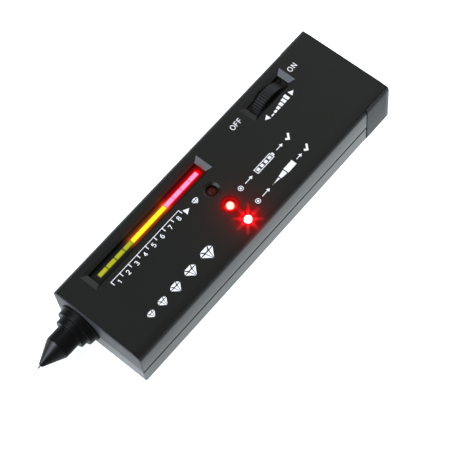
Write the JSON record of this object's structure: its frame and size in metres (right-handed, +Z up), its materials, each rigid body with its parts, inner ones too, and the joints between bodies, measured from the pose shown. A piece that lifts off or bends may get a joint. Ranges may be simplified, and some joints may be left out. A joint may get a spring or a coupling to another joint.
{
  "type": "diamond tester",
  "caption": "Pocket diamond tester: flat case, sprung probe in a stepped nose, bar-light window, round lamps, ribbed level thumbwheel and a sliding battery cover.",
  "frame": {"origin": "centre of the overall box on the surface that the case lies on, needle and wheel included", "axes": "+X from the needle's tip to the battery cover, +Y to the wheel's side, +Z up through the display face"},
  "size_m": [0.1832, 0.0472, 0.026],
  "materials": {
    "case_plastic": "fine matt moulded black",
    "nose_plastic": "glossy black",
    "wheel_plastic": "ribbed black",
    "mask_plastic": "flat black",
    "green_lens": "diffused, lit",
    "yellow_lens": "diffused, lit",
    "red_lens": "diffused, lit",
    "lamp_red": "diffused, lit",
    "lamp_dark": "diffused, not lit",
    "board_laminate": "green laminate",
    "chip_plastic": "moulded black",
    "resistor_lacquer": "lacquered beige",
    "trimmer_plastic": "blue",
    "steel": "zinc plated",
    "needle_metal": "bright",
    "copper": "bare",
    "bead_glass": "coated bead",
    "bush_plastic": "natural",
    "wire_grey": "insulated",
    "wire_red": "insulated",
    "wire_black": "insulated",
    "battery_skin": "plain sleeve",
    "foam": "open foam",
    "touch_metal": "brushed"
  },
  "bodies": {
    "case": {"upper_shell": "case_plastic", "lower_shell": "case_plastic", "nose_cone": "nose_plastic", "probe_bush": "bush_plastic", "probe_leads": "wire_grey", "probe_spring": "steel", "led_mask": "mask_plastic", "bar_leds_green": "green_lens", "bar_leds_yellow": "yellow_lens", "bar_leds_red": "red_lens", "alert_lamp": "lamp_dark", "battery_lamp": "lamp_red", "ready_lamp": "lamp_red", "main_board": "board_laminate", "bar_driver_chip": "chip_plastic", "amplifier_chip": "chip_plastic", "resistors": "resistor_lacquer", "capacitors": "chip_plastic", "trimmers": "trimmer_plastic", "buzzer": "mask_plastic", "pot_body": "mask_plastic", "board_screws": "steel", "case_screws": "steel", "battery_9v": "battery_skin", "battery_snap": "mask_plastic", "lead_red": "wire_red", "lead_black": "wire_black", "battery_pad": "foam", "touch_plate": "touch_metal", "touch_contact": "copper"},
    "wheel": {"thumbwheel": "wheel_plastic", "wheel_screw": "steel", "pot_shaft": "steel"},
    "cover": {"battery_cover": "case_plastic"},
    "needle": {"probe_needle": "needle_metal", "heater_slug": "copper", "thermistor": "bead_glass"}
  },
  "joints": [
    {"name": "wheel_turn", "type": "hinge", "parent": "case", "child": "wheel", "pos_m": [0.05702, 0.0142, 0.0157], "axis": [0, 1, 0], "range_deg": [-120, 160]},
    {"name": "cover_slide", "type": "slide", "parent": "case", "child": "cover", "axis": [1, 0, 0], "range_m": [0, 0.015]},
    {"name": "needle_press", "type": "slide", "parent": "case", "child": "needle", "axis": [1, 0, 0], "range_m": [0, 0.0015], "stiffness_N_per_m": 400, "springref_m": -0.003, "deforming": ["probe_spring"]}
  ]
}
